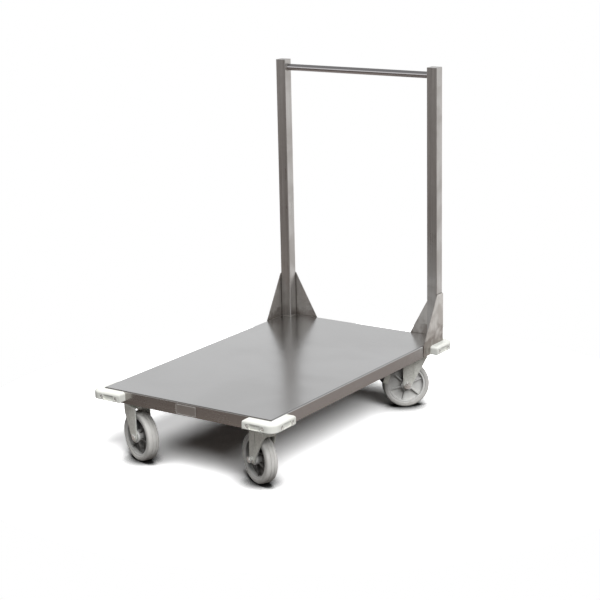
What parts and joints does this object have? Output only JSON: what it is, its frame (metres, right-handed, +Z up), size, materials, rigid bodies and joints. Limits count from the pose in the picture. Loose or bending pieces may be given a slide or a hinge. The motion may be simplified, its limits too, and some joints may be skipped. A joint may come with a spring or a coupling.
{
  "type": "platform cart",
  "caption": "Flat steel platform cart with an upright push handle, corner bumpers and swivel casters, two of them braked.",
  "frame": {"origin": "on the floor, below the middle of the deck", "axes": "+Z up, +X to the cart's right side, -Y to the front end, +Y to the handle end"},
  "size_m": [0.546, 0.846, 0.905],
  "materials": {
    "deck_steel": "brushed along the deck",
    "frame_steel": "brushed",
    "rod_steel": "polished stainless steel",
    "bumper_plastic": "fine grain, off-white",
    "screw_steel": "plain",
    "label_metal": "satin, bare",
    "zinc": "zinc plated, satin",
    "rim_plastic": "moulded, satin",
    "tyre_rubber": "grey, non-marking",
    "pad_rubber": "matt"
  },
  "bodies": {
    "cart": {"deck_pan": "deck_steel", "front_skirt": "deck_steel", "rear_skirt": "deck_steel", "front_beam": "frame_steel", "rear_beam": "frame_steel", "left_stiffener": "frame_steel", "right_stiffener": "frame_steel", "left_post": "frame_steel", "right_post": "frame_steel", "left_post_cap": "frame_steel", "right_post_cap": "frame_steel", "handle_rod": "rod_steel", "left_side_gusset": "frame_steel", "right_side_gusset": "frame_steel", "left_rear_gusset": "frame_steel", "right_rear_gusset": "frame_steel", "front_left_bumper": "bumper_plastic", "front_right_bumper": "bumper_plastic", "rear_left_bumper": "bumper_plastic", "rear_right_bumper": "bumper_plastic", "bumper_screws": "screw_steel", "label_plate": "label_metal", "caster_bolts": "zinc", "caster_nuts": "zinc", "kingpins": "zinc", "front_left_caster_plate": "zinc", "front_right_caster_plate": "zinc", "rear_left_caster_plate": "zinc", "rear_right_caster_plate": "zinc"},
    "front_left_swivel": {"front_left_fork": "zinc", "front_left_swivel_balls": "zinc", "front_left_axle": "zinc", "front_left_axle_nut": "zinc"},
    "front_left_wheel": {"front_left_rim": "rim_plastic", "front_left_tyre": "tyre_rubber"},
    "front_right_swivel": {"front_right_fork": "zinc", "front_right_swivel_balls": "zinc", "front_right_axle": "zinc", "front_right_axle_nut": "zinc"},
    "front_right_wheel": {"front_right_rim": "rim_plastic", "front_right_tyre": "tyre_rubber"},
    "rear_left_swivel": {"rear_left_fork": "zinc", "rear_left_swivel_balls": "zinc", "rear_left_axle": "zinc", "rear_left_axle_nut": "zinc", "rear_left_pedal_pin": "zinc"},
    "rear_left_wheel": {"rear_left_rim": "rim_plastic", "rear_left_tyre": "tyre_rubber"},
    "rear_left_pedal": {"rear_left_brake_pedal": "zinc", "rear_left_pedal_pad": "pad_rubber"},
    "rear_right_swivel": {"rear_right_fork": "zinc", "rear_right_swivel_balls": "zinc", "rear_right_axle": "zinc", "rear_right_axle_nut": "zinc", "rear_right_pedal_pin": "zinc"},
    "rear_right_wheel": {"rear_right_rim": "rim_plastic", "rear_right_tyre": "tyre_rubber"},
    "rear_right_pedal": {"rear_right_brake_pedal": "zinc", "rear_right_pedal_pad": "pad_rubber"}
  },
  "joints": [
    {"name": "front_left_swivel_turn", "type": "hinge", "parent": "cart", "child": "front_left_swivel", "pos_m": [-0.1975, -0.351, 0.14], "axis": [0, 0, 1], "continuous": true},
    {"name": "front_left_wheel_spin", "type": "hinge", "parent": "front_left_swivel", "child": "front_left_wheel", "pos_m": [-0.17025, -0.36092, 0.0625], "axis": [0.342, 0.9397, 0], "continuous": true},
    {"name": "front_right_swivel_turn", "type": "hinge", "parent": "cart", "child": "front_right_swivel", "pos_m": [0.1975, -0.351, 0.14], "axis": [0, 0, 1], "continuous": true},
    {"name": "front_right_wheel_spin", "type": "hinge", "parent": "front_right_swivel", "child": "front_right_wheel", "pos_m": [0.17122, -0.33874, 0.0625], "axis": [-0.4226, -0.9063, 0], "continuous": true},
    {"name": "rear_left_swivel_turn", "type": "hinge", "parent": "cart", "child": "rear_left_swivel", "pos_m": [-0.1975, 0.351, 0.14], "axis": [0, 0, 1], "continuous": true},
    {"name": "rear_left_wheel_spin", "type": "hinge", "parent": "rear_left_swivel", "child": "rear_left_wheel", "pos_m": [-0.20742, 0.32375, 0.0625], "axis": [0.9397, -0.342, 0], "continuous": true},
    {"name": "rear_left_brake_release", "type": "hinge", "parent": "rear_left_swivel", "child": "rear_left_pedal", "pos_m": [-0.20879, 0.31999, 0.132], "axis": [-0.9397, 0.342, 0], "range_deg": [0, 16]},
    {"name": "rear_right_swivel_turn", "type": "hinge", "parent": "cart", "child": "rear_right_swivel", "pos_m": [0.1975, 0.351, 0.14], "axis": [0, 0, 1], "continuous": true},
    {"name": "rear_right_wheel_spin", "type": "hinge", "parent": "rear_right_swivel", "child": "rear_right_wheel", "pos_m": [0.17629, 0.33122, 0.0625], "axis": [0.682, -0.7314, 0], "continuous": true},
    {"name": "rear_right_brake_release", "type": "hinge", "parent": "rear_right_swivel", "child": "rear_right_pedal", "pos_m": [0.17336, 0.32849, 0.132], "axis": [-0.682, 0.7314, 0], "range_deg": [0, 16]}
  ]
}
